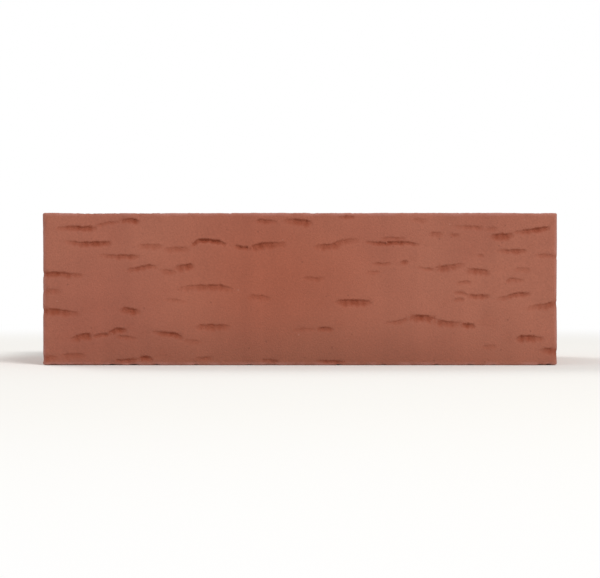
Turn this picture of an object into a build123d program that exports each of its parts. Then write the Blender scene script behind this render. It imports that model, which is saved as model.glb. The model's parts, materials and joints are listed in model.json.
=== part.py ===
"""A cored clay facing brick in the 240 x 115 x 71 mm format, fired in one piece.

The clay leaves a die as a column whose section is the bed face, 240 x 115 mm, and wires cut the column
into bricks 71 mm high. The die gives the four upright faces, their rounded corners and the cores. The
wires give the two flat bed faces. X runs along the stretcher, Y through the wall and Z up, with the
origin at the middle of the lower bed face. Millimetres.
"""

import os

from build123d import *

# The fired brick
brick_length = 240.0  # X, the stretcher face
brick_width = 115.0  # Y, the header face
brick_height = 71.0  # Z, from bed to bed

# Edges
die_corner_radius = 2.5  # the four upright corners, rounded by the mouth of the die
cut_edge_radius = 0.8  # round the two bed faces, where the cut edge softened in the kiln
core_mouth_bevel = 0.5  # where a core meets a bed face

# Cores: long slots in rows, each row set half a slot along from the next, like the bond of a wall
shell = 20.0  # solid clay between the outermost cores and the faces of the brick
cross_web = 16.0  # between two cores of one row
row_web = 15.0  # between two rows
core_corner_radius = 5.0
core_end_flat = 0.2  # the least flat left between two corners of a narrow core
core_rows = 3
cores_in_a_row = 4

# What the webs leave for each core
core_length = (brick_length - 2 * shell - (cores_in_a_row - 1) * cross_web) / cores_in_a_row
core_width = (brick_width - 2 * shell - (core_rows - 1) * row_web) / core_rows
half_core_length = (core_length - cross_web) / 2
core_pitch = core_length + cross_web
row_pitch = core_width + row_web


def full_row():
    """Centres along X, and lengths, of the cores of a row that starts with a whole core."""
    first = -(cores_in_a_row - 1) / 2 * core_pitch
    return [(first + n * core_pitch, core_length) for n in range(cores_in_a_row)]


def staggered_row():
    """The same for a row that is half a pitch along, so that it starts and ends with a half core."""
    first = -(cores_in_a_row - 2) / 2 * core_pitch
    whole = [(first + n * core_pitch, core_length) for n in range(cores_in_a_row - 1)]
    end = brick_length / 2 - shell - half_core_length / 2
    return [(-end, half_core_length), *whole, (end, half_core_length)]


def core_outline(length):
    """The outline of one core. Its corners are never rounder than the core's shorter side allows."""
    roundest = (min(length, core_width) - core_end_flat) / 2
    return RectangleRounded(length, core_width, min(core_corner_radius, roundest), mode=Mode.SUBTRACT)


def die_section():
    """The section that the die gives the column: the bed face with its cores."""
    with BuildSketch() as section:
        RectangleRounded(brick_length, brick_width, die_corner_radius)
        for row in range(core_rows):
            y = (row - (core_rows - 1) / 2) * row_pitch
            cores = staggered_row() if row % 2 else full_row()
            for x, length in cores:
                with Locations((x, y)):
                    core_outline(length)
    return section.sketch


def cut_brick():
    """One brick's height of the column, with the edges of both cut faces softened."""
    with BuildPart() as brick:
        add(die_section())
        extrude(amount=brick_height)
        beds = brick.faces().filter_by(Plane.XY)
        outlines = [edge for bed in beds for edge in bed.outer_wire().edges()]
        mouths = [edge for bed in beds for wire in bed.inner_wires() for edge in wire.edges()]
        chamfer(mouths, core_mouth_bevel)
        fillet(outlines, cut_edge_radius)
    return brick.part


os.makedirs("parts", exist_ok=True)
brick = cut_brick()
export_step(brick, "parts/brick.step")

gross = brick_length * brick_width * brick_height
print(f"core {core_length:.1f} x {core_width:.1f} mm, half core {half_core_length:.1f} x {core_width:.1f} mm")
print(f"volume {brick.volume:.0f} mm3, voids {100 * (1 - brick.volume / gross):.1f} % of the outline")
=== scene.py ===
# %% [markdown]
# # A fired clay facing brick
#
# The part is one brick for a facing wall. Stiff clay was pushed upwards through a die, which gave the four
# upright faces, the rounded corners and the cores. Wires cut the column into bricks, which gave the two flat
# beds. Then the faces were scarred: a comb of pins plucked short level tears out of the damp clay. The kiln
# turned it all one warm red.
#
# The CAD solid has the outline and the cores. What it lacks is the skin, and this script makes that: a new
# closed mesh of the same size, fine where a tear needs it, with its relief cut inwards only.

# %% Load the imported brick
import json
import math

import bmesh
import bpy
import numpy as np
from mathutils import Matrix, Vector, geometry, kdtree


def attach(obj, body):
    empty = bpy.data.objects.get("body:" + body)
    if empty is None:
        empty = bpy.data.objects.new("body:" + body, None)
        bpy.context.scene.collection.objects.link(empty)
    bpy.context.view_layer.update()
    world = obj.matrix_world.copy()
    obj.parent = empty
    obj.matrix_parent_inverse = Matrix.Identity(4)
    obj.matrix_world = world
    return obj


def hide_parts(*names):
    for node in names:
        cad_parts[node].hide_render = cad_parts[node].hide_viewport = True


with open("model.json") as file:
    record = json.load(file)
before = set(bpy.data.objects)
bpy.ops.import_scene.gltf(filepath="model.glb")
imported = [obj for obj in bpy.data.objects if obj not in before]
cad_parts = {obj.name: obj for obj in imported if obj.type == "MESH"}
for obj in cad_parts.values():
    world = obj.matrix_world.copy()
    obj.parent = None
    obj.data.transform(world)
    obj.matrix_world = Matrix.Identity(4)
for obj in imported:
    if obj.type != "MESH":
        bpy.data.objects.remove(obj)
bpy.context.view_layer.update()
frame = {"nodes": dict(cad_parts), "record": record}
print("the packed brick has the nodes", list(frame["nodes"]))

# %% [markdown]
# ## Sizes
#
# Blender works in metres, and a brick is easier to think of in millimetres. So the skin is worked out in
# millimetres and turned to metres as it becomes a mesh. The outline is measured on the CAD solid, so that the
# skin still fits after a change there.

# %% Sizes of the brick, in millimetres
mm = 0.001
touching = 0.001  # a point that is nearer than this to a plane lies on it
solid = frame["nodes"]["brick"]
corners = np.array([vertex.co for vertex in solid.data.vertices]) / mm
length, width, height = corners.max(axis=0) - corners.min(axis=0)
header = corners[corners[:, 0] > length / 2 - touching]  # the points of the flat end face
corner_radius = width / 2 - header[:, 1].max()  # of the four upright corners
edge_radius = header[:, 2].min()  # round both beds
print(f"brick {length:.1f} x {width:.1f} x {height:.1f} mm,",
      f"corners {corner_radius:.2f}, edges {edge_radius:.2f}")

# %% [markdown]
# The record that came with the solid gives each core as a box that stands a little clear of its walls. Adding
# that clearance back gives the core itself. The rounding of its corners and the bevel at its mouths are those
# of the solid too.

# %% Sizes of the cores
opening_clearance = 1.5
core_radius = 5.0
mouth_bevel = 0.5
core_boxes = np.array([opening["box_m"] for opening in frame["record"]["physics"]["openings"]]) / mm
core_centres = core_boxes.mean(axis=1)[:, :2]
core_sizes = (core_boxes[:, 1] - core_boxes[:, 0])[:, :2] + 2 * opening_clearance
half_core = core_sizes[:, 0] < core_sizes[:, 0].mean()
print(len(core_centres), "cores,", half_core.sum(), "of them half cores; the whole ones measure",
      core_sizes.max(axis=0).round(2), "mm")

# %% [markdown]
# ## Two small helpers
#
# Node trees for shapes and node trees for finishes are built in the same way, so one function adds a node to
# either. The colours are written as they look on a screen, and the shaders need them linear.

# %% Helpers
def colour(hex_code):
    """An sRGB hex colour as the linear colour that the shaders take."""
    parts = [int(hex_code[i:i + 2], 16) / 255 for i in (1, 3, 5)]
    return (*[c / 12.92 if c <= 0.04045 else ((c + 0.055) / 1.055) ** 2.4 for c in parts], 1.0)


def add(tree, kind, inputs=None, **settings):
    """Adds one node. inputs gives a value, a node or an output for each socket, by its name or its place."""
    node = tree.nodes.new(kind)
    for name, value in settings.items():
        setattr(node, name, value)
    sockets = [socket for socket in node.inputs if socket.enabled]
    by_name = {socket.name: socket for socket in reversed(sockets)}
    for key, value in (inputs or {}).items():
        socket = sockets[key] if isinstance(key, int) else by_name[key]
        if isinstance(value, bpy.types.Node):
            value = next(output for output in value.outputs if output.enabled)
        if isinstance(value, bpy.types.NodeSocket):
            tree.links.new(value, socket)
        else:
            socket.default_value = value
    return node


print("a mid grey of #808080 is", round(colour("#808080")[0], 3), "in linear light")

# %% [markdown]
# ## Camera
#
# The brick is seen square on, as in a flat elevation, so a long lens stands level with its middle. Nothing of
# the top shows, and the upright edges stay upright.

# %% Camera
scene = bpy.context.scene
lens = 100.0
sensor = 36.0
brick_share = 0.86  # of the picture's width
camera_distance = length * mm / brick_share * lens / sensor
camera_data = bpy.data.cameras.new("camera")
camera_data.lens = lens
camera_data.sensor_width = sensor
camera = bpy.data.objects.new("camera", camera_data)
camera.location = (0, -width / 2 * mm - camera_distance, height / 2 * mm)
camera.rotation_euler = (math.radians(90), 0, 0)
scene.collection.objects.link(camera)
scene.camera = camera
print(f"camera {camera_distance:.2f} m in front of the face")

# %% [markdown]
# ## Light
#
# A large soft lamp hangs above and in front, so that each tear is shaded under its upper lip. A weaker one
# behind lights the faces that turn away, and a plain world fills the rest. Small hard lamps would draw every
# tear in black, and the clay would lose its own colour.

# %% Lamps
def add_lamp(name, position, size, power):
    """A square lamp that points at the middle of the brick. Place and size are in metres, power in watts."""
    light = bpy.data.lights.new(name, "AREA")
    light.size = size
    light.energy = power
    holder = bpy.data.objects.new(name, light)
    holder.location = position
    aim = Vector((0, 0, height / 2 * mm)) - Vector(position)
    holder.rotation_euler = aim.to_track_quat("-Z", "Y").to_euler()
    scene.collection.objects.link(holder)
    print(f"{name}: {power} W, {aim.length:.2f} m away")


add_lamp("key_lamp", (0.9, -1.5, 2.0), size=0.8, power=37.0)
add_lamp("back_lamp", (-1.3, 1.5, 1.7), size=1.2, power=22.0)

# %% [markdown]
# ## World and floor
#
# The camera sees the world as white, and the floor fades into it with distance, so that no horizon crosses
# behind the brick. More light would make them white too, but it would bleach the clay. The floor itself stays
# pale and matt, and keeps the shadow.

# %% The world
def seen_directly(tree):
    """1 for a ray that shows the surface itself: from the camera, in a gloss or through glass."""
    rays = add(tree, "ShaderNodeLightPath")
    pair = add(tree, "ShaderNodeMath", {0: rays.outputs["Is Camera Ray"], 1: rays.outputs["Is Glossy Ray"]},
               operation="MAXIMUM")
    return add(tree, "ShaderNodeMath", {0: pair, 1: rays.outputs["Is Transmission Ray"]}, operation="MAXIMUM")


fill_strength = 0.56
scene.view_settings.view_transform = "Standard"
world = bpy.data.worlds.new("studio")
world.use_nodes = True
scene.world = world
tree = world.node_tree
tree.nodes.clear()
fill = add(tree, "ShaderNodeBackground", {"Color": colour("#FFFFFF"), "Strength": fill_strength})
white = add(tree, "ShaderNodeBackground", {"Color": colour("#FFFFFF"), "Strength": 1.0})
either = add(tree, "ShaderNodeMixShader", {0: seen_directly(tree), 1: fill, 2: white})
add(tree, "ShaderNodeOutputWorld", {"Surface": either})
print("the world is seen as white and lights the clay with a strength of", fill_strength)

# %% The floor
floor_reach = 3.0  # metres from the middle of the brick, as for the fade
fade_start = 0.30
fade_end = 0.75
floor_corners = [(floor_reach * x, floor_reach * y, 0) for x, y in ((-1, -1), (1, -1), (1, 1), (-1, 1))]
floor_mesh = bpy.data.meshes.new("floor")
floor_mesh.from_pydata(floor_corners, [], [(0, 1, 2, 3)])
floor = bpy.data.objects.new("floor", floor_mesh)
scene.collection.objects.link(floor)
paper = bpy.data.materials.new("pale_paper")
paper.use_nodes = True
tree = paper.node_tree
tree.nodes.clear()
place = add(tree, "ShaderNodeTexCoord")
away = add(tree, "ShaderNodeVectorMath", {0: place.outputs["Object"]}, operation="LENGTH")
fade = add(tree, "ShaderNodeMapRange", {"Value": away, "From Min": fade_start, "From Max": fade_end},
           interpolation_type="SMOOTHSTEP")
share = add(tree, "ShaderNodeMath", {0: fade, 1: seen_directly(tree)}, operation="MULTIPLY")
matt = add(tree, "ShaderNodeBsdfDiffuse", {"Color": colour("#E9E7E3")})
glow = add(tree, "ShaderNodeEmission", {"Color": colour("#FFFFFF"), "Strength": 1.0})
either = add(tree, "ShaderNodeMixShader", {0: share, 1: matt, 2: glow})
add(tree, "ShaderNodeOutputMaterial", {"Surface": either})
floor_mesh.materials.append(paper)
print("the floor fades to white between", fade_start, "and", fade_end, "m")

# %% [markdown]
# ## Finishes
#
# A brick is one clay, but its surfaces were made in three ways. The upright faces were torn, the beds were
# cut by a wire, and the cores were drawn over the die. All three share the colour of the fired body, so that
# it runs on across every edge. A painted picture could hold it all, but noise that reads the place in the
# brick needs no unwrapping and has no seam.

# %% Patterns that the finishes share
def drawn_lines(tree, place, stretch, spacing):
    """Lines that a tool dragged through the clay, some mm apart. stretch is small along the lines."""
    drawn = add(tree, "ShaderNodeMapping", {"Vector": place, "Scale": stretch})
    return add(tree, "ShaderNodeTexNoise", {
        "Vector": drawn, "Scale": 1 / (spacing * mm), "Detail": 2.0, "Distortion": 0.3})


def patch(tree, place, middle, reach):
    """1 at the middle of a soft patch, given in mm, and 0 from its reach outwards."""
    scaled = add(tree, "ShaderNodeVectorMath", {
        0: place, 1: [1 / (r * mm) for r in reach], 2: [-m / r for m, r in zip(middle, reach)]},
        operation="MULTIPLY_ADD")
    away = add(tree, "ShaderNodeVectorMath", {0: scaled}, operation="LENGTH")
    return add(tree, "ShaderNodeMapRange", {"Value": away, "From Min": 1.0, "From Max": 0.0},
               interpolation_type="SMOOTHSTEP")


def tinted(tree, share, strength, below, hex_code):
    """Lays a colour over another where share is high."""
    amount = add(tree, "ShaderNodeMath", {0: share, 1: strength}, operation="MULTIPLY")
    return add(tree, "ShaderNodeMix", {0: amount, 1: below, 2: colour(hex_code)}, data_type="RGBA")


print("three patterns to share: drawn lines, soft patches and tints")

# %% [markdown]
# The fired body is never one flat red. Iron in the clay burns paler or browner with the heat that each side
# took, which gives clouds some centimetres wide and a warm middle. A painted shade darkens the foot of the
# front. Fine sand gives it a grain, and coarser grit shows as dark and pale specks.

# %% The fired body that all three share
# The low tone is painted shade, for the darker foot of the front; the others are the clay's own.
clay_tones = {"brown": "#9A5A48", "pink": "#A2634F", "orange": "#9D5741", "low": "#86503D"}
speck_tones = {"iron": "#6B3B2E", "grog": "#AC7564"}
body_sizes = {"clouds": 70, "streaks": 9, "sand": 0.8, "blotches": 13, "grit": 7}  # mm
iron_share = 0.85  # of the specks, and the rest are pale grog
speck_strength = 0.45


def fired_body(tree):
    """Object coordinates, the colour of the fired clay there and the height of its sandy grain."""
    scales = {name: 1 / (size * mm) for name, size in body_sizes.items()}
    place = add(tree, "ShaderNodeTexCoord").outputs["Object"]
    clouds = add(tree, "ShaderNodeTexNoise", {"Vector": place, "Scale": scales["clouds"], "Detail": 2.0})
    broad = add(tree, "ShaderNodeMapRange", {"Value": clouds, "From Min": 0.35, "From Max": 0.65})
    shade = tinted(tree, broad, 1.0, colour(clay_tones["brown"]), clay_tones["pink"])
    hot = patch(tree, place, middle=(-10, -58, 40), reach=(75, 60, 55))
    shade = tinted(tree, hot, 0.8, shade, clay_tones["orange"])
    # Painted shade: darker towards the bottom of the front.
    low = patch(tree, place, middle=(0, -58, -12), reach=(170, 90, 44))
    shade = tinted(tree, low, 0.85, shade, clay_tones["low"])
    lines = drawn_lines(tree, place, stretch=(1, 1, 0.06), spacing=body_sizes["streaks"])
    streaks = add(tree, "ShaderNodeMapRange", {"Value": lines, "To Min": 0.92, "To Max": 1.08})
    sand = add(tree, "ShaderNodeTexNoise", {
        "Vector": place, "Scale": scales["sand"], "Detail": 3.0, "Roughness": 0.6})
    grain = add(tree, "ShaderNodeMapRange", {"Value": sand, "To Min": 0.80, "To Max": 1.20})
    blotches = add(tree, "ShaderNodeTexNoise", {"Vector": place, "Scale": scales["blotches"], "Detail": 2.0})
    mottle = add(tree, "ShaderNodeMapRange", {"Value": blotches, "To Min": 0.93, "To Max": 1.07})
    level = add(tree, "ShaderNodeMath", {0: streaks, 1: grain}, operation="MULTIPLY")
    level = add(tree, "ShaderNodeMath", {0: level, 1: mottle}, operation="MULTIPLY")
    shade = add(tree, "ShaderNodeVectorMath", {0: shade, 1: level}, operation="MULTIPLY")
    grit = add(tree, "ShaderNodeTexVoronoi", {"Vector": place, "Scale": scales["grit"]}).outputs
    speck = add(tree, "ShaderNodeMapRange", {"Value": grit["Distance"], "From Min": 0.08, "From Max": 0.04})
    luck = add(tree, "ShaderNodeSeparateXYZ", {0: grit["Color"]}).outputs["X"]
    is_grog = add(tree, "ShaderNodeMath", {0: luck, 1: iron_share}, operation="GREATER_THAN")
    speck_tone = tinted(tree, is_grog, 1.0, colour(speck_tones["iron"]), speck_tones["grog"])
    seen = add(tree, "ShaderNodeMath", {0: speck, 1: speck_strength}, operation="MULTIPLY")
    shade = add(tree, "ShaderNodeMix", {0: seen, 1: shade, 2: speck_tone}, data_type="RGBA")
    return place, shade, sand


print("the body runs from", clay_tones["brown"], "to", clay_tones["pink"])

# %% [markdown]
# Two marks of wear and making come on top. Small pits are left where grit fell out, most of them tiny and a
# few wide, so the radius goes by a power of the luck, and the finishes darken them as painted shade.
# Arrises get rubbed pale in handling, here and there.

# %% Pits and rubbed arrises
pit_raggedness = 1.0  # mm
rub_length = 6  # mm


def pits(tree, place, sand, spacing, largest):
    """1 in the hollows where grit fell out. They lie some mm apart, and few have the largest radius."""
    nudge = add(tree, "ShaderNodeVectorMath", {0: sand.outputs["Color"], "Scale": pit_raggedness * mm},
                operation="SCALE")
    rough = add(tree, "ShaderNodeVectorMath", {0: place, 1: nudge}, operation="ADD")
    holes = add(tree, "ShaderNodeTexVoronoi", {"Vector": rough, "Scale": 1 / (spacing * mm)}).outputs
    luck = add(tree, "ShaderNodeSeparateXYZ", {0: holes["Color"]}).outputs["X"]
    radius = add(tree, "ShaderNodeMath", {0: luck, 1: 2.0}, operation="POWER")
    rim = add(tree, "ShaderNodeMath", {0: radius, 1: largest / spacing}, operation="MULTIPLY")
    return add(tree, "ShaderNodeMapRange", {"Value": holes["Distance"], "From Min": rim, "From Max": 0.0})


def rubbed_arris(tree, place):
    """1 on an arris that was rubbed pale, 0 on the open face. It comes and goes along the arris."""
    near = add(tree, "ShaderNodeAttribute", attribute_name="arris").outputs["Fac"]
    along = add(tree, "ShaderNodeTexNoise", {"Vector": place, "Scale": 1 / (rub_length * mm), "Detail": 2.0})
    there = add(tree, "ShaderNodeMapRange", {
        "Value": along, "From Min": 0.35, "From Max": 0.6, "To Min": 0.3})
    edge = add(tree, "ShaderNodeMapRange", {"Value": near, "From Min": 0.4, "From Max": 0.95})
    return add(tree, "ShaderNodeMath", {0: edge, 1: there}, operation="MULTIPLY")


print("an arris is rubbed over lengths of about", rub_length, "mm")

# %% [markdown]
# Each finish then closes in the same way: its heights go through a bump, and a rough shader with hardly any
# gloss takes colour and bump. Fired clay without a glaze scatters light at its pores, so it has no highlight.

# %% Closing a finish
def new_clay(name):
    """An empty material with nodes, and its tree."""
    material = bpy.data.materials.new(name)
    material.use_nodes = True
    material.node_tree.nodes.clear()
    return material, material.node_tree


def finish_clay(tree, shade, heights, relief, roughness):
    """Adds up heights, each with its share, into a bump of some mm, and closes the material."""
    total = 0.0
    for height_map, share in heights:
        total = add(tree, "ShaderNodeMath", {0: height_map, 1: share, 2: total}, operation="MULTIPLY_ADD")
    bump = add(tree, "ShaderNodeBump", {"Strength": 1.0, "Distance": relief * mm, "Height": total})
    clay = add(tree, "ShaderNodeBsdfPrincipled", {
        "Base Color": shade, "Roughness": roughness, "IOR": 1.5, "Specular IOR Level": 0.3, "Normal": bump})
    add(tree, "ShaderNodeOutputMaterial", {"Surface": clay})


rubbed_tone = "#B8837A"
# This tone is painted shade at the bottom of a drawn line, on the beds and in the cores.
groove_shade_tone = "#85493A"
print("rubbed clay is", rubbed_tone, "and the bottom of a drawn line", groove_shade_tone)

# %% [markdown]
# Stiff clay leaves the die with a tight, matt skin, and the eye sees a plain face. Where a tear opens it, the
# clay below is browner and crumbly. The shape of a tear comes from the mesh, so this finish only tints it and
# adds crumbs, both by the `torn` attribute that the mesh brings along.

# %% Scarred fired clay, the upright faces
torn_tone = "#8B422A"
crumb_size = 1.4  # mm
face_clay, tree = new_clay("scarred_fired_clay")
place, shade, sand = fired_body(tree)
pores = pits(tree, place, sand, spacing=8.0, largest=0.8)
# Painted shade: the pits are darkened in their hollows.
shade = tinted(tree, pores, 0.3, shade, "#7A4332")
shade = tinted(tree, rubbed_arris(tree, place), 0.65, shade, rubbed_tone)
torn = add(tree, "ShaderNodeAttribute", attribute_name="torn").outputs["Fac"]
shade = tinted(tree, torn, 0.76, shade, torn_tone)
crumbly = add(tree, "ShaderNodeTexNoise", {
    "Vector": place, "Scale": 1 / (crumb_size * mm), "Detail": 3.0, "Roughness": 0.7})
crumbs = add(tree, "ShaderNodeMath", {0: crumbly, 1: 0.5}, operation="SUBTRACT")
crumbs = add(tree, "ShaderNodeMath", {0: crumbs, 1: torn}, operation="MULTIPLY")
finish_clay(tree, shade, [(sand, 1.0), (pores, -1.0), (crumbs, 3.0)], relief=0.2, roughness=0.86)
print("made", face_clay.name)

# %% [markdown]
# The wire dragged grit along with it, which left fine lines across the brick and pits where grit fell out.
# That makes a bed the coarsest of the three, open and dry to the eye. Some stretches were smeared smooth into
# lines and others stayed crumbly, so a broad noise mixes the two.

# %% Wire-cut fired clay, the beds
bed_sizes = {"smears": 22, "lines": 1.7, "crumbs": 1.7}  # mm
bed_clay, tree = new_clay("wire_cut_fired_clay")
place, shade, sand = fired_body(tree)
smooth = add(tree, "ShaderNodeTexNoise", {
    "Vector": place, "Scale": 1 / (bed_sizes["smears"] * mm), "Detail": 1.0})
smeared = add(tree, "ShaderNodeMapRange", {
    "Value": smooth, "From Min": 0.40, "From Max": 0.60, "To Min": 0.25})
lines = drawn_lines(tree, place, stretch=(1, 0.06, 1), spacing=bed_sizes["lines"])
crumbs = add(tree, "ShaderNodeTexNoise", {
    "Vector": place, "Scale": 1 / (bed_sizes["crumbs"] * mm), "Detail": 4.0, "Roughness": 0.7})
texture = add(tree, "ShaderNodeMix", {0: smeared, 1: crumbs, 2: lines})
dragged = add(tree, "ShaderNodeMapping", {"Vector": place, "Scale": (1, 0.7, 1)})
pores = pits(tree, dragged, sand, spacing=3.6, largest=1.9)
# Painted shade: the pits are darkened in their hollows.
shade = tinted(tree, pores, 0.9, shade, "#6E3C2C")
# Painted shade: the grooves between the lines and crumbs are darkened.
groove_shade = add(tree, "ShaderNodeMapRange", {"Value": texture, "From Min": 0.5, "From Max": 0.3})
shade = tinted(tree, groove_shade, 0.5, shade, groove_shade_tone)
# Painted highlight: the raised ridges of the lines and crumbs are lightened.
ridge_highlight = add(tree, "ShaderNodeMapRange", {"Value": texture, "From Min": 0.52, "From Max": 0.7})
shade = tinted(tree, ridge_highlight, 0.45, shade, "#B37866")
shade = tinted(tree, rubbed_arris(tree, place), 0.4, shade, rubbed_tone)
finish_clay(tree, shade, [(sand, 0.6), (texture, 1.8), (pores, -1.2)], relief=0.8, roughness=0.92)
print("made", bed_clay.name)

# %% [markdown]
# The clay slid over the cores of the die, which polished it a little and drew fine lines from bed to bed. To
# the eye it is the smoothest of the three. One stretched noise gives those lines their height, and darkens
# their grooves as painted shade.

# %% Die-drawn fired clay, the cores
core_clay, tree = new_clay("die_drawn_fired_clay")
place, shade, sand = fired_body(tree)
lines = drawn_lines(tree, place, stretch=(1, 1, 0.03), spacing=1.6)
# Painted shade: the grooves of the drawn lines are darkened.
groove_shade = add(tree, "ShaderNodeMapRange", {"Value": lines, "From Min": 0.5, "From Max": 0.3})
shade = tinted(tree, groove_shade, 0.4, shade, groove_shade_tone)
finish_clay(tree, shade, [(sand, 0.4), (lines, 1.6)], relief=0.25, roughness=0.8)
print("made", core_clay.name)

# %% [markdown]
# ## The upright skin as a flat strip
#
# The tears could be bump alone, but a lip that throws a shadow needs real depth, so the skin is a mesh that
# is fine enough to hold them. The four upright faces and their corners are one strip that goes round the
# brick. It is easiest to plan while it lies flat, with s along it and t up it, and `on_brick` then wraps it
# round. Both values run along the surface, so a length on the strip is a length on the brick.

# %% The strip and how it wraps
quarter_turn = corner_radius * math.pi / 2
edge_arc = edge_radius * math.pi / 2
end_flat = width - 2 * corner_radius
long_flat = length - 2 * corner_radius
strip_height = height - 2 * edge_radius + 2 * edge_arc
stretches = [quarter_turn, end_flat, quarter_turn, long_flat] * 2  # back left corner, left header, and so on
knots = np.concatenate([[0], np.cumsum(stretches)])
strip_length = knots[-1]
left_header, front, right_header, back = [knots[n:n + 2] for n in (1, 3, 5, 7)]  # from and to along it
inner_x = (length / 2 - corner_radius) * np.array([-1, -1, -1, -1, 1, 1, 1, 1, -1])
inner_y = (width / 2 - corner_radius) * np.array([1, 1, -1, -1, -1, -1, 1, 1, 1])
facing = np.radians([90, 180, 180, 270, 270, 360, 360, 450, 450])


def on_brick(strip_points):
    """Wraps points (s, t) of the strip round the brick, as (x, y, z)."""
    s, t = np.asarray(strip_points, float).T
    from_end = np.minimum(t, strip_height - t)
    roll = np.minimum(from_end / edge_radius, math.pi / 2)
    rise = edge_radius * (1 - np.cos(roll)) + np.maximum(from_end - edge_arc, 0)
    reach = corner_radius - edge_radius * (1 - np.sin(roll))
    angle = np.interp(s, knots, facing)
    x = np.interp(s, knots, inner_x) + reach * np.cos(angle)
    y = np.interp(s, knots, inner_y) + reach * np.sin(angle)
    return np.column_stack([x, y, np.where(t < strip_height / 2, rise, height - rise)])


print(f"the strip is {strip_length:.1f} x {strip_height:.1f} mm")

# %% [markdown]
# ## Where the tears are
#
# A pin that drags across damp clay lifts a small lens of it: a sharp lip above, and below it a soft slope
# back to the face. Tears could all be drawn at random, but those of the front give the brick its own face. So
# they were read off an enlarged picture of the brick: for each one a few points of its line, to the
# nearest half millimetre from the lower left corner of the face, and three words. The first says how far
# it opened: full, plain or slim. The second says how dark it looks, and the third where along its length
# it is strongest.

# %% What the words mean
fullness_of = {"full": 1.3, "plain": 1.0, "slim": 0.8}  # how tall a tear is, next to a plain one
strength_of = {"darkest": 1.5, "dark": 1.1, "medium": 0.8, "light": 0.5, "faint": 0.3}  # 1 is a deep tear
late_swell = (0.15, 0.5, 0.8, 1.0, 0.95, 0.2)  # of a tear that is strongest to the right, from end to end
even_swell = (0.2, 0.75, 1.0, 1.0, 0.75, 0.2)
swell_of = {"left": late_swell[::-1], "middle": even_swell, "right": late_swell}
print(len(strength_of), "words for how dark a tear looks")

# %% Tears of the front, upper part
upper_tears = [
    ("plain", "dark", "right", [(6, 64), (15, 64.5), (26, 64)]),
    ("slim", "light", "middle", [(24, 65), (31, 66.5), (37, 67)]),
    ("plain", "dark", "right", [(35, 67), (40, 68), (46, 67.5)]),
    ("plain", "medium", "left", [(99, 67.5), (103, 67.5), (110, 67)]),
    ("full", "dark", "right", [(112, 68), (117, 67.5), (126, 67)]),
    ("slim", "medium", "right", [(137, 69), (142, 69.5), (146, 69)]),
    ("full", "faint", "middle", [(171, 68), (175, 68), (180, 67.5)]),
    ("plain", "light", "right", [(191, 65), (200, 64.5), (206, 64)]),
    ("full", "faint", "middle", [(205, 63.5), (209, 64), (213, 63.5)]),
    ("full", "light", "middle", [(179.5, 61.5), (183, 61.5), (187, 61.5)]),
    ("plain", "light", "left", [(189, 61), (191.5, 61), (195, 60.5)]),
    ("full", "dark", "middle", [(208, 60.5), (215, 60.5), (220, 61.5)]),
    ("plain", "dark", "right", [(219, 62), (227, 63), (237, 64.5)]),
    ("plain", "dark", "right", [(10, 58), (17, 57), (24, 57), (33, 57.5)]),
    ("full", "light", "middle", [(44, 56), (50, 56), (57, 55.5)]),
    ("full", "light", "middle", [(56, 54.5), (63, 54.5), (69, 54.5)]),
    ("slim", "darkest", "middle", [(69, 55.5), (71, 57), (73, 58.5), (77, 58.5), (82, 58), (86, 56)]),
    ("slim", "dark", "middle", [(89, 56), (93, 55), (98, 55)]),
    ("full", "dark", "left", [(96, 55), (103, 56.5), (114, 57)]),
    ("full", "medium", "left", [(126, 55.5), (135, 56), (140, 58), (148, 59)]),
    ("slim", "dark", "middle", [(150, 57.5), (158, 57), (169, 57.5), (176, 56)]),
    ("plain", "light", "middle", [(157, 58.5), (161, 59.5), (170, 59)]),
    ("plain", "medium", "right", [(26, 51.5), (35, 51), (46, 51)]),
    ("plain", "light", "middle", [(202, 51.5), (204, 51.5), (206, 51.5)]),
    ("plain", "medium", "right", [(211, 53.5), (218, 53.5), (226, 53.5)]),
    ("plain", "light", "middle", [(229, 51.5), (234, 51.5), (243, 50.5)]),
]
print(len(upper_tears), "tears in the upper part of the front")

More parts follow.
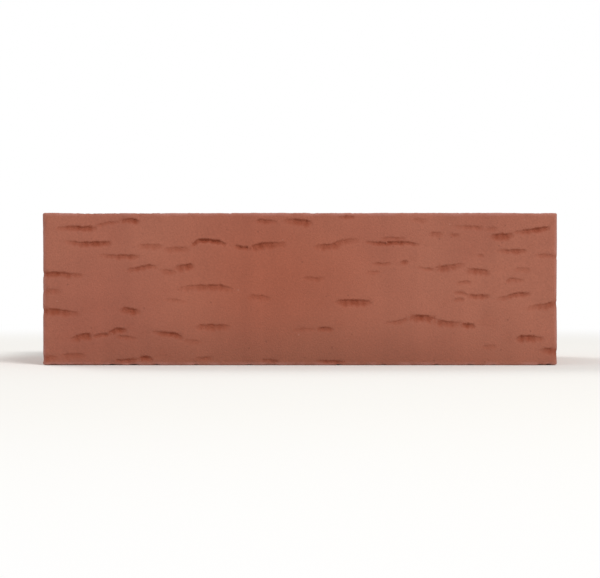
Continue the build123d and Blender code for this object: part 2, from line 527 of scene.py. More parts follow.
# %% Tears of the front, middle part
middle_tears = [
    ("plain", "medium", "middle", [(39, 44.5), (45, 45.5), (50, 46.5), (54, 46)]),
    ("full", "light", "right", [(54, 44.5), (59, 44), (63, 44)]),
    ("full", "dark", "right", [(61, 45.5), (66, 46.5), (71, 47)]),
    ("plain", "dark", "left", [(-3, 43), (8, 43), (14, 42.5), (20, 42)]),
    ("slim", "light", "middle", [(153, 47.5), (157, 47.5), (163, 47.5)]),
    ("plain", "medium", "middle", [(166, 48), (168.5, 48.5), (171, 48.5)]),
    ("slim", "light", "right", [(174, 46), (179, 45), (184, 45)]),
    ("full", "medium", "left", [(182, 45), (188, 46), (197, 47.5)]),
    ("full", "medium", "middle", [(197, 44.5), (203, 44.5), (209, 43.5)]),
    ("full", "faint", "middle", [(219, 45), (223, 45), (228, 44.5)]),
    ("plain", "faint", "middle", [(150, 43), (153, 43.5), (158, 43.5)]),
    ("plain", "light", "middle", [(121, 41), (127, 40.5), (132, 41)]),
    ("plain", "light", "right", [(192, 38.5), (197, 39), (200, 39)]),
    ("plain", "light", "left", [(215, 38.5), (218.5, 40.5), (225, 39.5)]),
    ("full", "medium", "right", [(63, 36), (73, 37), (83, 37), (89, 35.5)]),
    ("full", "light", "middle", [(-3, 35), (4, 35), (9, 35)]),
    ("slim", "light", "middle", [(191, 34), (195, 34), (199, 32.5)]),
    ("plain", "medium", "middle", [(197, 32.5), (203, 32.5), (209, 32.5)]),
    ("plain", "light", "middle", [(191, 30.5), (194, 31), (197, 31)]),
    ("plain", "medium", "right", [(211, 31), (216, 32), (221, 33.5), (228, 33.5)]),
    ("full", "light", "middle", [(95, 32), (101, 32.5), (107, 31)]),
    ("plain", "faint", "left", [(57, 31), (62, 30.5), (68, 29.5)]),
    ("full", "dark", "middle", [(136, 30), (142, 30), (149, 30), (154, 29.5)]),
]
print(len(middle_tears), "tears in the middle part of the front")

# %% Tears of the front, lower part
lower_tears = [
    ("full", "dark", "left", [(-3, 26), (5, 26), (11, 25), (18, 24.5)]),
    ("full", "dark", "middle", [(36, 26.5), (40, 26.5), (43, 25.5), (46, 26)]),
    ("full", "medium", "right", [(225, 26.5), (230, 28), (235, 28), (238, 29.5), (243, 30)]),
    ("plain", "light", "right", [(159, 20), (167, 20.5), (171, 22.5)]),
    ("full", "dark", "middle", [(170, 22.5), (178, 23), (184, 21)]),
    ("full", "medium", "left", [(181, 21.5), (188, 20), (197, 19.5)]),
    ("plain", "dark", "middle", [(194, 19.5), (198, 19), (202, 18.5)]),
    ("full", "medium", "middle", [(71, 18.5), (79, 18.5), (88, 18.5)]),
    ("plain", "faint", "middle", [(116, 16.5), (121, 17), (128, 17)]),
    ("plain", "medium", "middle", [(127, 17), (132, 17.5), (136, 17)]),
    ("full", "dark", "right", [(13, 12), (18, 14), (24, 14.5)]),
    ("slim", "medium", "middle", [(23, 13.5), (28, 14.5), (33, 15)]),
    ("plain", "dark", "middle", [(30, 15), (35, 17), (40, 16.5)]),
    ("plain", "light", "left", [(34, 14), (38, 13.5), (45, 12.5)]),
    ("plain", "dark", "right", [(51, 16), (57, 15), (61, 15), (66, 13)]),
    ("full", "faint", "middle", [(65, 12), (69, 11.5), (75, 11)]),
    ("full", "dark", "left", [(220, 13), (226, 13.5), (234, 12.5)]),
    ("full", "faint", "middle", [(204, 9), (208, 9), (212, 9)]),
    ("full", "dark", "right", [(231, 7.5), (236, 7.5), (243, 6.5)]),
    ("full", "medium", "left", [(-3, 4), (3, 4), (8, 4)]),
    ("full", "light", "middle", [(8, 5), (15, 5), (21, 5)]),
    ("plain", "medium", "middle", [(33, 2), (39, 2.5), (46, 3)]),
    ("plain", "dark", "middle", [(44, 3), (48, 4), (52, 3)]),
    ("plain", "light", "middle", [(71, 3.5), (75, 3.5), (80, 3.5)]),
    ("plain", "light", "middle", [(101, 2.5), (106, 2.5), (111, 2)]),
    ("slim", "medium", "middle", [(127, 2), (134, 2), (142, 1.5)]),
]
print(len(lower_tears), "tears in the lower part of the front")

# %% [markdown]
# A tear is worked out from marks along its line, each with how strong the tear is there, where 1 is a deep
# one. For the front, the words give the strengths. Points every half millimetre run through the marks with
# the kinks softened. Height and depth follow the strength, each end closes in a short taper, and slow waves
# keep it from looking drawn. The line is that of the dark lip, so the middle of the tear is put a little
# lower. The seed is fixed, so every run gives the same brick.

# %% From marks to a tear
rng = np.random.default_rng(7)
tear_step = 0.5  # between two points of a tear
fewest_points = 8
kink_reach = 4  # a kink is softened over this many points on either side
full_depth = 0.62  # of a tear where its strength is 1
least_height = 2.0  # of a plain tear where it is faint
more_height = 1.5  # is added to that where its strength is 1
faint_share = 0.85  # a power below 1 keeps the faint tears from getting lost
taper = 1.2  # over this length each end closes
below_lip = 0.3  # the middle of a tear lies this share of its height below the marks
wavers = {  # how far each value strays along a tear as a share of it, and the lengths of its two waves
    "middle": (0.15, (11.0, 4.5)),  # this one strays in mm
    "strength": (0.22, (5.0, 2.7)),
    "height": (0.15, (6.5, 3.1)),
}
soften = np.hanning(2 * kink_reach + 1)
soften = soften / soften.sum()


def wavy(along, value):
    """A smooth random curve about 0 for one of the values of a tear."""
    reach, waves = wavers[value]
    return reach * (sum(np.sin(2 * math.pi * (along / wave + rng.random())) for wave in waves) / len(waves))


def tear(marks, fullness):
    """One tear as rows of s, t, half height, depth and tone, from a few marks of s, t and strength."""
    s, t, strength = np.array(marks, float).T
    along = np.linspace(s[0], s[-1], max(fewest_points, int((s[-1] - s[0]) / tear_step)))
    padded = np.pad(along, kink_reach, mode="edge")
    middle = np.convolve(np.interp(padded, s, t), soften, "valid")
    strong = np.convolve(np.interp(padded, s, strength), soften, "valid")
    middle = middle + wavy(along, "middle")
    strong = strong ** faint_share * (1 + wavy(along, "strength"))
    closing = np.sqrt(np.clip(np.minimum(along - s[0], s[-1] - along) / taper, 0, 1))
    tall = fullness * (least_height + more_height * np.minimum(strong, 1)) * closing
    tall = tall * (1 + wavy(along, "height"))
    middle = middle - below_lip * tall
    return np.column_stack([along, middle, tall / 2, full_depth * strong * closing, strong * closing])


def swollen(line, strength, swell):
    """Marks of one tear, each x, z and strength, from the points of its line and how it swells."""
    x, z = np.array(line, float).T
    swell_places = np.linspace(x[0], x[-1], len(swell))
    places = np.union1d(x, swell_places)
    strong = strength * np.interp(places, swell_places, swell)
    return np.column_stack([places, np.interp(places, x, z), strong])


print(f"a plain tear of strength 1 is {least_height + more_height} mm tall and {full_depth} mm deep")

# %% All tears of the front
front_corner = (front[0] - corner_radius, edge_arc - edge_radius)  # its lower left one, on the strip
tears = []
for opening, look, strongest_at, line in upper_tears + middle_tears + lower_tears:
    marks = swollen(line, strength_of[look], swell_of[strongest_at])
    tears.append(tear(marks + (*front_corner, 0), fullness_of[opening]))
print(len(tears), "tears on the front,", f"{sum(one[-1, 0] - one[0, 0] for one in tears):.0f} mm of them")

# %% [markdown]
# The other faces met the same comb, so their tears are drawn at random, much like those of the front:
# nearly level, 5 to 42 mm long, clear of each other, and mostly deepest near the end where the comb let go.
# Their places up a face step by the golden ratio with some luck added, which spreads them evenly without a
# pattern that shows.

# %% Tears at random
golden = (math.sqrt(5) - 1) / 2  # steps of this share of the height never bunch up
height_luck = 0.12  # how far luck moves a tear from its step, as a share of the height
bed_gap = 4  # nearer to a bed, no tear starts, so that its relief stays clear of the arris
typical_length = 16
length_spread = 0.5  # of its logarithm
shortest = 5
longest = 42
climb = 0.085  # how much a tear typically rises or falls, for each mm of its length
bow = 0.045  # and how much it bends
most_slant = 4
row_gap = 2.6  # tears whose heights differ by less than this
end_gap = 2  # stay this far apart along the strip
first_shares = np.array([0, 0.2, 0.4, 0.6, 0.8, 1])  # the marks lie between these shares of the length
last_shares = np.array([0, 0.3, 0.5, 0.7, 0.9, 1])  # and these
weakest = 0.3
strongest = 1.2
mark_luck = 0.3  # of the strength at one mark
mark_stray = 0.18  # of the height of one mark
backwards_share = 0.35  # of the tears, which are deepest near their other end


def scattered_tears(start, end, count):
    """Tears at random between two places of the strip, evenly spread, clear of each other and of the beds."""
    found = []
    while len(found) < count:
        long = float(np.clip(rng.lognormal(math.log(typical_length), length_spread), shortest, longest))
        along = (len(found) + rng.random()) / count
        up = (len(found) * golden + rng.uniform(-height_luck, height_luck)) % 1
        s = np.clip(start + along * (end - start) - long / 2, start, end - long)
        t = bed_gap + up * (strip_height - 2 * bed_gap)
        rise, bend = rng.normal(0, (climb, bow)) * long
        clear = all(
            abs(t - other[0][1]) > row_gap or s > other[-1][0] + end_gap or s + long < other[0][0] - end_gap
            for other in found)
        if clear and abs(rise) + abs(bend) < most_slant:
            shares = np.sort(rng.uniform(first_shares, last_shares))
            strength = np.array(late_swell) * rng.uniform(1 - mark_luck, 1 + mark_luck, len(shares))
            strength = strength * rng.uniform(weakest, strongest)
            if rng.random() < backwards_share:
                strength = strength[::-1]
            level = t + rise * (shares - 0.5) + bend * np.sin(math.pi * shares)
            level = level + rng.normal(0, mark_stray, len(shares))
            found.append(list(zip(s + long * shares, level, strength)))
    return [tear(marks, rng.uniform(fullness_of["slim"], fullness_of["full"])) for marks in found]


print("a tear drawn at random is", shortest, "to", longest, "mm long, and typically", typical_length, "mm")

# %% All tears of the hidden faces
seam_gap = 3  # the back's tears end this far from the seam of the strip
for start, end, count in ((*left_header, 25), (*right_header, 25), (back[0], back[1] - seam_gap, 52)):
    tears += scattered_tears(start, end, count)
print(len(tears), "tears in all,", f"{sum(one[-1, 0] - one[0, 0] for one in tears):.0f} mm of them")

# %% [markdown]
# The tears become one object of plain lines on the surface of the brick. Each point of a line carries how
# tall, deep and dark the tear is there, as attributes that the shape tree reads later.

# %% Lines of the tears
def new_piece(name, points, faces=(), edges=()):
    """A mesh object from points in millimetres."""
    mesh = bpy.data.meshes.new(name)
    mesh.from_pydata(np.asarray(points) * mm, edges, faces)
    piece = bpy.data.objects.new(name, mesh)
    scene.collection.objects.link(piece)
    return piece


def set_attribute(mesh, label, values, domain="POINT"):
    """Stores one number for each point or face of a mesh."""
    attribute = mesh.attributes.new(label, "FLOAT", domain)
    attribute.data.foreach_set("value", np.asarray(values, np.float32))


tear_points = np.concatenate(tears)
line_ends = set(np.cumsum([len(one) for one in tears]) - 1)
line_edges = [(n, n + 1) for n in range(len(tear_points) - 1) if n not in line_ends]
tear_lines = new_piece("tear_lines", on_brick(tear_points[:, :2]), edges=line_edges)
set_attribute(tear_lines.data, "half_height", tear_points[:, 2] * mm)
set_attribute(tear_lines.data, "depth", tear_points[:, 3] * mm)
set_attribute(tear_lines.data, "tone", tear_points[:, 4])
print(len(tear_points), "points on the lines of the tears")

# %% [markdown]
# ## Triangles only where they are needed
#
# A tear is a few millimetres tall, and its lip far thinner, so it needs triangles of half a millimetre or
# less. All over the brick that would be millions. So the strip is first laid out in large squares, and a
# square is quartered again and again while it is larger than its place needs. One point goes in each square
# that is left, and a Delaunay triangulation joins them.

# %% The spacing that each place wants
tear_spacing = 0.4
beside_tear = 0.2  # this far out the spacing of a tear still holds
near_arris = 0.9  # the spacing at an arris
arris_slope = 0.5  # how much it grows with each mm from there
corner_middles = knots[:8:2] + quarter_turn / 2
near_tears = kdtree.KDTree(len(tear_points))
for index, (s, t) in enumerate(tear_points[:, :2]):
    near_tears.insert((s, t, 0), index)
near_tears.balance()


def wanted_on_strip(points):
    """The spacing that the strip wants at each point: fine on a tear or an arris, coarser with distance."""
    s, t = points.T
    found = [near_tears.find((*point, 0)) for point in points]
    clear = np.array([distance - tear_points[index, 2] for _, index, distance in found])
    half_round = strip_length / 2
    from_corners = np.abs((s[:, None] - corner_middles + half_round) % strip_length - half_round).min(axis=1)
    from_arris = np.minimum(np.minimum(t, strip_height - t), from_corners - quarter_turn / 2)
    at_arris = near_arris + arris_slope * np.maximum(from_arris, 0)
    return np.minimum(tear_spacing + np.maximum(clear - beside_tear, 0), at_arris)


tried = np.array([tear_points[0, :2], (corner_middles[0], strip_height / 2)])
print("spacing wanted at the end of a tear and on an upright corner:", wanted_on_strip(tried).round(2), "mm")

# %% Squares, quartered until they are small enough
finest_share = 8  # the finest squares are this many times smaller than the largest
finest_margin = 1.01  # keeps rounding from splitting them once more
point_stray = 0.18  # of its square's side, so that no grid shows
quarters = np.array([(-1, -1), (1, -1), (-1, 1), (1, 1)]) / 4  # where they lie in a square, from its middle


def quartered(low, high, wanted_at, largest):
    """Points over a rectangle, one in each square, with the squares quartered while they are too large."""
    low, high = np.array(low, float), np.array(high, float)
    counts = np.maximum(1, np.round((high - low) / largest)).astype(int)
    size = (high - low) / counts
    across, up = [low[i] + (np.arange(counts[i]) + 0.5) * size[i] for i in (0, 1)]
    centres = np.array(np.meshgrid(across, up)).reshape(2, -1).T
    finest = size.max() / finest_share * finest_margin
    done = []
    while len(centres):
        split = size.max() > np.maximum(wanted_at(centres), finest)
        kept = centres[~split]
        done.append(kept + rng.uniform(-point_stray, point_stray, kept.shape) * size)
        centres = (centres[split][:, None, :] + quarters * size).reshape(-1, 2)
        size = size / 2
    return np.concatenate(done)


print("a square is halved", round(math.log2(finest_share)), "times at most")

# %% Triangles between points
def keep_all(middles):
    """Keeps every triangle."""
    return np.full(len(middles), True)


def triangulated(points, loops, keep):
    """Joins points by triangles that respect the closed loops, and keeps those whose middles pass."""
    edges = [(int(a), int(b)) for loop in loops for a, b in zip(loop, np.roll(loop, -1))]
    flat = [Vector((float(a), float(b))) for a, b in points]
    joined, _, faces, *_ = geometry.delaunay_2d_cdt(flat, edges, [], 0, 1e-6)
    joined, faces = np.array(joined), np.array(faces)
    return joined, faces[keep(joined[faces].mean(axis=1))]


one_square = triangulated([(0, 0), (1, 0), (1, 1), (0, 1)], [], keep_all)
print("the corners of a square give", len(one_square[1]), "triangles")

# %% [markdown]
# Squares alone would leave ragged borders. So rows of points in fixed places follow the rounding at both
# beds, and columns of them follow the four corners. The places along the strip that these rows share are the
# ring that the beds will be sewn to.

# %% The strip in triangles
coarsest_in_front = 3.2
coarsest = 4.0
guard = 0.4  # a row this far inside each rounding keeps the flat face flat
ring_step = 1.0  # along a flat face
arc_steps = 6  # round a corner
edge_steps = 3  # round the edge of a bed
column_step = 1.2
ring = []
for n, stretch in enumerate(stretches):
    steps = arc_steps if n % 2 == 0 else round(stretch / ring_step)
    ring += list(np.linspace(knots[n], knots[n + 1], steps + 1)[:-1])
rows = np.concatenate([np.linspace(0, edge_arc, edge_steps + 1), [edge_arc + guard]])
rows = np.concatenate([rows, strip_height - rows])
edge_points = [(s, t) for t in rows for s in [*ring, strip_length]]

bare = edge_arc + 2 * guard
body = np.concatenate([
    quartered((start, bare), (end, strip_height - bare), wanted_on_strip, largest)
    for start, end, largest in (
        (0, front[0], coarsest), (*front, coarsest_in_front), (front[1], strip_length, coarsest))
])
columns = [strip_length]
for n in (0, 2, 4, 6):  # the four corners
    first, last = knots[n:n + 2]
    columns += [*np.linspace(first, last, arc_steps + 1), first - guard, last + guard]
columns = np.array([s for s in columns if s >= 0])
body = body[np.abs(body[:, :1] - columns).min(axis=1) > guard]
levels = np.linspace(bare, strip_height - bare, round(strip_height / column_step))
column_points = [(s, t) for s in columns for t in levels]
strip_points, strip_faces = triangulated(np.concatenate([edge_points, column_points, body]), [], keep_all)
print(len(strip_faces), "triangles on the upright faces")

# %% [markdown]
# ## The cores
#
# Each core is a slot that runs from bed to bed, with a small bevel at each mouth. Two lengths of slot repeat
# in three rows, which is work for Geometry Nodes: one tree makes the two tubes and puts one of them on each
# point that it is given, where a `half_core` attribute says which.

# %% New trees and how they run
def new_shape_tree(name, sizes):
    """A geometry tree with a named input for each entry of sizes, and its input node."""
    tree = bpy.data.node_groups.new(name, "GeometryNodeTree")
    kinds = {float: "Float", int: "Int", bpy.types.Object: "Object", bpy.types.Material: "Material"}
    for label, value in {"Geometry": None, **sizes}.items():
        kind = kinds.get(type(value), "Geometry")
        tree.interface.new_socket(label, in_out="INPUT", socket_type=f"NodeSocket{kind}")
    tree.interface.new_socket("Geometry", in_out="OUTPUT", socket_type="NodeSocketGeometry")
    return tree, add(tree, "NodeGroupInput")


def run_shape_tree(piece, tree, sizes):
    """Runs a tree on a piece and leaves the result as the piece's own plain mesh."""
    modifier = piece.modifiers.new(tree.name, "NODES")
    modifier.node_group = tree
    for item in tree.interface.items_tree:
        if item.in_out == "INPUT" and item.name in sizes:
            modifier[item.identifier] = sizes[item.name]
    graph = bpy.context.evaluated_depsgraph_get()
    result = bpy.data.meshes.new_from_object(piece.evaluated_get(graph))
    piece.modifiers.remove(modifier)
    piece.data = result
    return result


core_inputs = {
    "Whole length": float(core_sizes[:, 0].max()) * mm,
    "Half length": float(core_sizes[:, 0].min()) * mm,
    "Core width": float(core_sizes[0, 1]) * mm,
    "Corner radius": core_radius * mm,
    "Brick height": float(height) * mm,
    "Mouth bevel": mouth_bevel * mm,
    "Wall step": 1.5 * mm,
    "Levels": 8,
    "Core clay": core_clay,
}
tree, given = new_shape_tree("cores_from_the_die", core_inputs)
size_of = given.outputs
print(len(core_inputs), "named inputs for the tree of the cores")

# %% [markdown]
# A tube is a rounded outline swept up a straight line. The levels between its ends are evenly spaced, so
# those next to the ends are moved to where the bevels start, and the end rings are opened out by the bevel.

# %% The wall of one core
corner_points = 8  # round each corner of a core
end_ring = 0.499  # only the rings at the beds are further from the middle than this share of the height
last_level = add(tree, "ShaderNodeMath", {0: size_of["Levels"], 1: 1.0}, operation="SUBTRACT")
step = add(tree, "ShaderNodeMath", {0: size_of["Brick height"], 1: last_level}, operation="DIVIDE")
below_top = [
    add(tree, "ShaderNodeMath", {0: size_of["Brick height"], 1: less}, operation="SUBTRACT")
    for less in (step, size_of["Mouth bevel"])
]


def core_tube(tree, long):
    """The wall of one core from bed to bed, opened out by the bevel at both mouths."""
    outline = add(tree, "GeometryNodeCurvePrimitiveQuadrilateral", {
        "Width": long, "Height": size_of["Core width"]})
    rounded = add(tree, "GeometryNodeFilletCurve", {
        "Curve": outline, "Count": corner_points, "Radius": size_of["Corner radius"]}, mode="POLY")
    even = add(tree, "GeometryNodeResampleCurve", {
        "Curve": rounded, "Length": size_of["Wall step"]}, mode="LENGTH")
    top = add(tree, "ShaderNodeCombineXYZ", {"Z": size_of["Brick height"]})
    upright = add(tree, "GeometryNodeCurvePrimitiveLine", {"End": top})
    levels = add(tree, "GeometryNodeResampleCurve", {
        "Curve": upright, "Count": size_of["Levels"]}, mode="COUNT")
    tube = add(tree, "GeometryNodeCurveToMesh", {"Curve": levels, "Profile Curve": even})
    here = add(tree, "ShaderNodeSeparateXYZ", {0: add(tree, "GeometryNodeInputPosition")}).outputs
    between_bevels = add(tree, "ShaderNodeMapRange", {
        "Value": here["Z"], "From Min": step, "From Max": below_top[0],
        "To Min": size_of["Mouth bevel"], "To Max": below_top[1]}, clamp=False)
    level = add(tree, "ShaderNodeClamp", {
        "Value": between_bevels, "Min": 0.0, "Max": size_of["Brick height"]})
    share = add(tree, "ShaderNodeMath", {0: here["Z"], 1: size_of["Brick height"]}, operation="DIVIDE")
    centred = add(tree, "ShaderNodeMath", {0: share, 1: 0.5}, operation="SUBTRACT")
    from_middle = add(tree, "ShaderNodeMath", {0: centred}, operation="ABSOLUTE")
    at_mouth = add(tree, "ShaderNodeMath", {0: from_middle, 1: end_ring}, operation="GREATER_THAN")
    open_by = add(tree, "ShaderNodeMath", {0: at_mouth, 1: size_of["Mouth bevel"]}, operation="MULTIPLY")
    outwards = add(tree, "ShaderNodeVectorMath", {
        0: add(tree, "GeometryNodeInputNormal"), "Scale": open_by}, operation="SCALE")
    new_place = add(tree, "ShaderNodeCombineXYZ", {"X": here["X"], "Y": here["Y"], "Z": level})
    mouths = add(tree, "GeometryNodeSetPosition", {
        "Geometry": tube, "Position": new_place, "Offset": outwards})
    return add(tree, "GeometryNodeGeometryToInstance", {"Geometry": mouths})


print("each wall has", core_inputs["Levels"], "levels of points")

# %% The two tubes, each on its places
kinds = add(tree, "GeometryNodeJoinGeometry")
for long in ("Half length", "Whole length"):  # the last one joined comes first
    tree.links.new(core_tube(tree, size_of[long]).outputs[0], kinds.inputs[0])
which = add(tree, "GeometryNodeInputNamedAttribute", {"Name": "half_core"}, data_type="INT")
placed = add(tree, "GeometryNodeInstanceOnPoints", {
    "Points": size_of["Geometry"], "Instance": kinds, "Pick Instance": True, "Instance Index": which})
real = add(tree, "GeometryNodeRealizeInstances", {"Geometry": placed})
made_of = add(tree, "GeometryNodeSetMaterial", {"Geometry": real, "Material": size_of["Core clay"]})
add(tree, "NodeGroupOutput", {"Geometry": made_of})

core_walls = new_piece("core_walls", np.column_stack([core_centres, np.zeros(len(core_centres))]))
set_attribute(core_walls.data, "half_core", half_core)
core_mesh = run_shape_tree(core_walls, tree, core_inputs)
core_points = np.array([vertex.co for vertex in core_mesh.vertices]) / mm
core_faces = [list(face.vertices) for face in core_mesh.polygons]
bpy.data.objects.remove(core_walls)
print(len(core_faces), "faces in", len(core_centres), "cores, which reach from",
      core_points.min(axis=0).round(2), "to", core_points.max(axis=0).round(2))

# %% [markdown]
# ## The beds
#
# A bed is a flat sheet with 13 holes. A Boolean would cut them, but it leaves long thin triangles that no
# relief can bend. The border also has to meet the strip and the cores point for point, or the skin would
# leak. So the border is taken from them, the inside is filled with points, and the same triangulation joins
# the lot. A signed distance tells how far inside the clay a place is.

# %% How far inside the clay a place is
def inside_slot(points, centre, size, radius):
    """Distance from the outline of a rounded slot, positive inside it."""
    over = np.abs(points - centre) - (np.asarray(size) / 2 - radius)
    return radius - np.linalg.norm(np.maximum(over, 0), axis=1) - np.minimum(over.max(axis=1), 0)


def inside_clay(points, edge=0.0, bevel=0.0):
    """Distance from the nearest outline of the section, positive in the clay."""
    body = inside_slot(points, (0, 0), (length - 2 * edge, width - 2 * edge), corner_radius - edge)
    cores = [
        inside_slot(points, centre, size + 2 * bevel, core_radius + bevel)
        for centre, size in zip(core_centres, core_sizes)
    ]
    return np.minimum(body, -np.max(cores, axis=0))


core_rows = np.unique(core_centres[:, 1].round(3))
tried = np.array([(0, core_rows[1]), (0, core_rows[1:].mean())])
print("inside the clay in a core and between two rows of them:", inside_clay(tried).round(2), "mm")

# %% The beds in triangles
bed_step = 1.5
bed_guard = 0.5  # the filling stays this far from every border
core_margin = 1.0  # the points of a core's mouth lie within this of its walls


def wanted_on_bed(points):
    """The spacing that the bed wants at each point: finer towards an edge."""
    return np.clip(near_arris + arris_slope * inside_clay(points), near_arris, bed_step)


bed_border = [on_brick([(s, 0.0) for s in ring])[:, :2]]
for centre, size in zip(core_centres, core_sizes):
    at_bed = core_points[core_points[:, 2] < touching][:, :2]
    own = at_bed[inside_slot(at_bed, centre, size + 2 * core_margin, core_radius + core_margin) > 0]
    bed_border.append(own[np.argsort(np.arctan2(*(own - centre).T))])
starts = np.cumsum([0] + [len(loop) for loop in bed_border])
loops = [np.arange(a, b) for a, b in zip(starts, starts[1:])]
filling = quartered((-length / 2, -width / 2), (length / 2, width / 2), wanted_on_bed, bed_step)
filling = filling[inside_clay(filling, edge_radius, mouth_bevel) > bed_guard]
bed_points, bed_faces = triangulated(
    np.concatenate(bed_border + [filling]), loops,
    lambda middles: inside_clay(middles, edge_radius, mouth_bevel) > 0)
print(len(bed_faces), "triangles on each bed")

# %% [markdown]
# ## One closed skin
#
# Strip, beds and core walls are put together, and the points that they share are merged. Then every edge has
# two faces, which is what makes a mesh closed, and the faces can be turned outwards.

# %% Joining the skin
merge_distance = 0.002  # points that are closer become one
parts = [
    ("face", on_brick(strip_points), strip_faces),
    ("bed", np.column_stack([bed_points, np.zeros(len(bed_points))]), bed_faces),
    ("bed", np.column_stack([bed_points, np.full(len(bed_points), height)]), bed_faces),
    ("core", core_points, core_faces),
]
skin_points, skin_faces, skin_kinds = [], [], []
for kind, points, faces in parts:
    first = sum(len(already) for already in skin_points)
    skin_points.append(points)
    skin_faces += [[int(corner) + first for corner in face] for face in faces]
    skin_kinds += [kind] * len(faces)
body = new_piece("brick_body", np.concatenate(skin_points), skin_faces)
for own in ("bed", "core"):
    set_attribute(body.data, own, [kind == own for kind in skin_kinds], "FACE")
bm = bmesh.new()
bm.from_mesh(body.data)
bmesh.ops.remove_doubles(bm, verts=bm.verts, dist=merge_distance * mm)
bmesh.ops.recalc_face_normals(bm, faces=bm.faces)
open_edges = [edge for edge in bm.edges if len(edge.link_faces) != 2]
print(len(bm.verts), "points,", len(bm.faces), "faces,", len(open_edges), "edges without two faces;",
      f"volume {bm.calc_volume() / mm ** 3 / 1000:.1f} cm3")
bm.to_mesh(body.data)
bm.free()

# %% [markdown]
# Edges of a brick lose their sharpness first. An attribute says how near each point is to an arris, where two
# faces meet, and both the shape and the finish read it.

# %% How near to an arris each point is
arris_reach = 3.0
sharp_angle = 35  # degrees; the shading breaks at an edge that turns more than this
places = np.array([vertex.co for vertex in body.data.vertices]) / mm
insets = np.column_stack([
    length / 2 - np.abs(places[:, 0]),
    width / 2 - np.abs(places[:, 1]),
    np.minimum(places[:, 2], height - places[:, 2]),
])
from_outer = np.sort(insets, axis=1)[:, 1]  # the second nearest face is the one past the arris
from_mouth = np.abs(inside_clay(places[:, :2])) + insets[:, 2]
set_attribute(body.data, "arris", np.clip(1 - np.minimum(from_outer, from_mouth) / arris_reach, 0, 1))
for face in body.data.polygons:
    face.use_smooth = True
body.data.set_sharp_from_angle(angle=math.radians(sharp_angle))
print(int((from_outer < arris_reach).sum()), "points near an outer arris")

# %% [markdown]
# ## The relief
#
# One tree cuts everything that the clay lost on its way to the kiln. A displacement picture could hold the
# tears too, but only as finely as its dots, and these lips are sharp. So the tree turns the tear lines into
# thin ribbons, and each point of the skin asks the nearest ribbon how far across it lies. That share of the
# way, from 0 at the upper lip to 1 at the lower end, gives the shape of the cut: steep under the lip, then a
# long slope back. Noise moves the place that is asked about, which makes the lips ragged.
#
# The faces are never quite flat, the wire dragged lines over the beds, and small chips are missing along the
# arrises. All of it goes inwards, so the brick keeps its size. A limit on the depth keeps the skin from
# folding over itself at a core's mouth.

# %% Start of the relief tree
relief_inputs = {
    "Tears": tear_lines,
    "Ragged size": 1.1 * mm,
    "Ragged reach": 0.4 * mm,
    "Lip": 0.18,
    "Slope start": 0.3,
    "Uneven size": 45 * mm,
    "Uneven depth": 0.5 * mm,
    "Drag size": 3.6 * mm,
    "Drag depth": 0.9 * mm,
    "Crumb size": 3.0 * mm,
    "Crumb depth": 0.7 * mm,
    "Chip size": 5.0 * mm,
    "Chip depth": 1.1 * mm,
    "Deepest cut": 1.3 * mm,
    "Deepest at arris": 0.8 * mm,  # any deeper, and the points round a core's mouth would pass each other
    "Seed": 3.0,
    "Face clay": face_clay,
    "Bed clay": bed_clay,
    "Core clay": core_clay,
}
tree, given = new_shape_tree("clay_relief", relief_inputs)
size_of = given.outputs
position = add(tree, "GeometryNodeInputPosition").outputs[0]
stored = {
    name: add(tree, "GeometryNodeInputNamedAttribute", {"Name": name}, data_type="FLOAT").outputs["Attribute"]
    for name in ("half_height", "depth", "tone", "across", "arris", "bed", "core")
}
elsewhere = add(tree, "ShaderNodeMath", {0: stored["bed"], 1: stored["core"]})
on_face = add(tree, "ShaderNodeMath", {0: 1.0, 1: elsewhere}, operation="SUBTRACT")
print(len(relief_inputs), "named inputs for the relief")

# %% Ribbons of the tears
def noise_at(tree, place, size, detail=1.0):
    """A noise node over the brick with blotches of one size, from the tree's own seed."""
    scale = add(tree, "ShaderNodeMath", {0: 1.0, 1: size}, operation="DIVIDE")
    return add(tree, "ShaderNodeTexNoise", {
        "Vector": place, "W": size_of["Seed"], "Scale": scale, "Detail": detail}, noise_dimensions="4D")


lines = add(tree, "GeometryNodeObjectInfo", {"Object": size_of["Tears"]})
paths = add(tree, "GeometryNodeMeshToCurve", {"Mesh": lines.outputs["Geometry"]})
level_paths = add(tree, "GeometryNodeSetCurveNormal", {"Curve": paths}, mode="Z_UP")
lip_to_end = add(tree, "GeometryNodeCurvePrimitiveLine", {"Start": (0, -1, 0), "End": (0, 1, 0)})
way = add(tree, "GeometryNodeSplineParameter")
marked = add(tree, "GeometryNodeStoreNamedAttribute", {
    "Geometry": lip_to_end, "Name": "across", "Value": way}, data_type="FLOAT", domain="POINT")
ribbons = add(tree, "GeometryNodeCurveToMesh", {
    "Curve": level_paths, "Profile Curve": marked, "Scale": stored["half_height"]})

random_vector = noise_at(tree, position, size_of["Ragged size"]).outputs["Color"]
jitter = add(tree, "ShaderNodeVectorMath", {0: random_vector, 1: (0.5, 0.5, 0.5)}, operation="SUBTRACT")
jitter = add(tree, "ShaderNodeVectorMath", {0: jitter, "Scale": size_of["Ragged reach"]}, operation="SCALE")
asked = add(tree, "ShaderNodeVectorMath", {0: position, 1: jitter}, operation="ADD")
carried = add(tree, "ShaderNodeCombineXYZ", {
    "X": stored["across"], "Y": stored["depth"], "Z": stored["tone"]})
nearest = add(tree, "GeometryNodeSampleNearestSurface", {
    "Mesh": ribbons, "Value": carried, "Sample Position": asked}, data_type="FLOAT_VECTOR")
found = add(tree, "ShaderNodeSeparateXYZ", {0: nearest}).outputs
print(len(tree.nodes), "nodes tell each point how deep and dark the nearest tear is")

# %% The shape of a tear
tone_lip = 0.08  # the tint is full nearer to the lip than the cut is
tone_slope_start = 0.45  # and it holds on longer


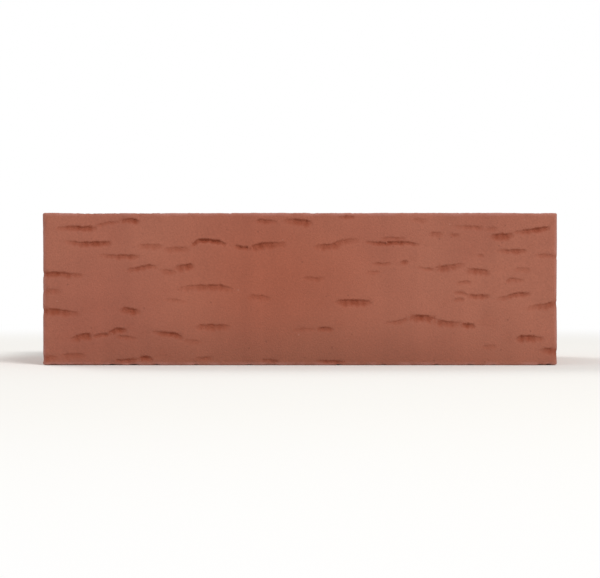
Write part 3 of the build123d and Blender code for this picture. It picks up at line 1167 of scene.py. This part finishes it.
def across_tear(tree, lip, slope_start, amount):
    """An amount that rises over the lip and dies away down the slope."""
    rise = add(tree, "ShaderNodeMapRange", {"Value": found["X"], "From Max": lip},
               interpolation_type="SMOOTHSTEP")
    fall = add(tree, "ShaderNodeMapRange", {"Value": found["X"], "From Min": 1.0, "From Max": slope_start},
               interpolation_type="SMOOTHSTEP")
    shape = add(tree, "ShaderNodeMath", {0: rise, 1: fall}, operation="MULTIPLY")
    return add(tree, "ShaderNodeMath", {0: shape, 1: amount}, operation="MULTIPLY")


tear_depth = across_tear(tree, size_of["Lip"], size_of["Slope start"], found["Y"])
tear_tone = across_tear(tree, tone_lip, tone_slope_start, found["Z"])
print("the tint rises over the first", f"{tone_lip:.0%} of a tear and fades after {tone_slope_start:.0%}")

# %% The rest of the relief
def lost_to(tree, what, place, detail, start, end):
    """What a noise takes away: nothing where it is below start, and the full depth from end upwards."""
    noise = noise_at(tree, place, size_of[f"{what} size"], detail)
    return add(tree, "ShaderNodeMapRange", {
        "Value": noise, "From Min": start, "From Max": end, "To Max": size_of[f"{what} depth"]})


wire_stretch = (1.0, 0.08, 0.0)  # small along the way of the wire, so that blotches become lines
uneven = lost_to(tree, "Uneven", position, detail=1.0, start=0.45, end=0.85)
along_wire = add(tree, "ShaderNodeVectorMath", {0: position, 1: wire_stretch}, operation="MULTIPLY")
drag = lost_to(tree, "Drag", along_wire, detail=2.0, start=0.5, end=0.8)
crumbs = lost_to(tree, "Crumb", position, detail=2.0, start=0.5, end=0.9)
cut = add(tree, "ShaderNodeMath", {0: drag, 1: crumbs})
cut = add(tree, "ShaderNodeMath", {0: cut, 1: stored["bed"]}, operation="MULTIPLY")
bites = lost_to(tree, "Chip", position, detail=4.0, start=0.54, end=0.75)
chips = add(tree, "ShaderNodeMath", {0: bites, 1: stored["arris"]}, operation="MULTIPLY")
loss = add(tree, "ShaderNodeMath", {0: tear_depth, 1: on_face}, operation="MULTIPLY")
for part in (uneven, cut, chips):
    loss = add(tree, "ShaderNodeMath", {0: loss, 1: part})
allowed = add(tree, "ShaderNodeMapRange", {
    "Value": stored["arris"], "To Min": size_of["Deepest cut"], "To Max": size_of["Deepest at arris"]})
loss = add(tree, "ShaderNodeMath", {0: loss, 1: allowed}, operation="MINIMUM")
inwards = add(tree, "ShaderNodeMath", {0: loss, 1: -1.0}, operation="MULTIPLY")
push = add(tree, "ShaderNodeVectorMath", {
    0: add(tree, "GeometryNodeInputNormal"), "Scale": inwards}, operation="SCALE")
torn_share = add(tree, "ShaderNodeMath", {0: tear_tone, 1: on_face}, operation="MULTIPLY")
print(len(tree.nodes), "nodes so far")

# %% End of the relief tree
shape = add(tree, "GeometryNodeStoreNamedAttribute", {
    "Geometry": size_of["Geometry"], "Name": "torn", "Value": torn_share}, data_type="FLOAT", domain="POINT")
shape = add(tree, "GeometryNodeSetPosition", {"Geometry": shape, "Offset": push})
shape = add(tree, "GeometryNodeRealizeInstances", {"Geometry": shape})
shape = add(tree, "GeometryNodeSetMaterial", {"Geometry": shape, "Material": size_of["Face clay"]})
for own in ("bed", "core"):
    here = add(tree, "ShaderNodeMath", {0: stored[own], 1: 0.5}, operation="GREATER_THAN")
    shape = add(tree, "GeometryNodeSetMaterial", {
        "Geometry": shape, "Selection": here, "Material": size_of[f"{own.capitalize()} clay"]})
add(tree, "NodeGroupOutput", {"Geometry": shape})
skin = run_shape_tree(body, tree, relief_inputs)
bpy.data.objects.remove(tear_lines)
torn = np.array([value.value for value in skin.attributes["torn"].data])
print(len(skin.polygons), "faces;", f"{(torn > 0.1).mean():.1%} of the points are torn;",
      [material.name for material in skin.materials])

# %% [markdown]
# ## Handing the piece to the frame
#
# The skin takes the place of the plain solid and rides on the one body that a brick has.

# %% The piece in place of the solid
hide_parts("brick")
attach(body, "root")
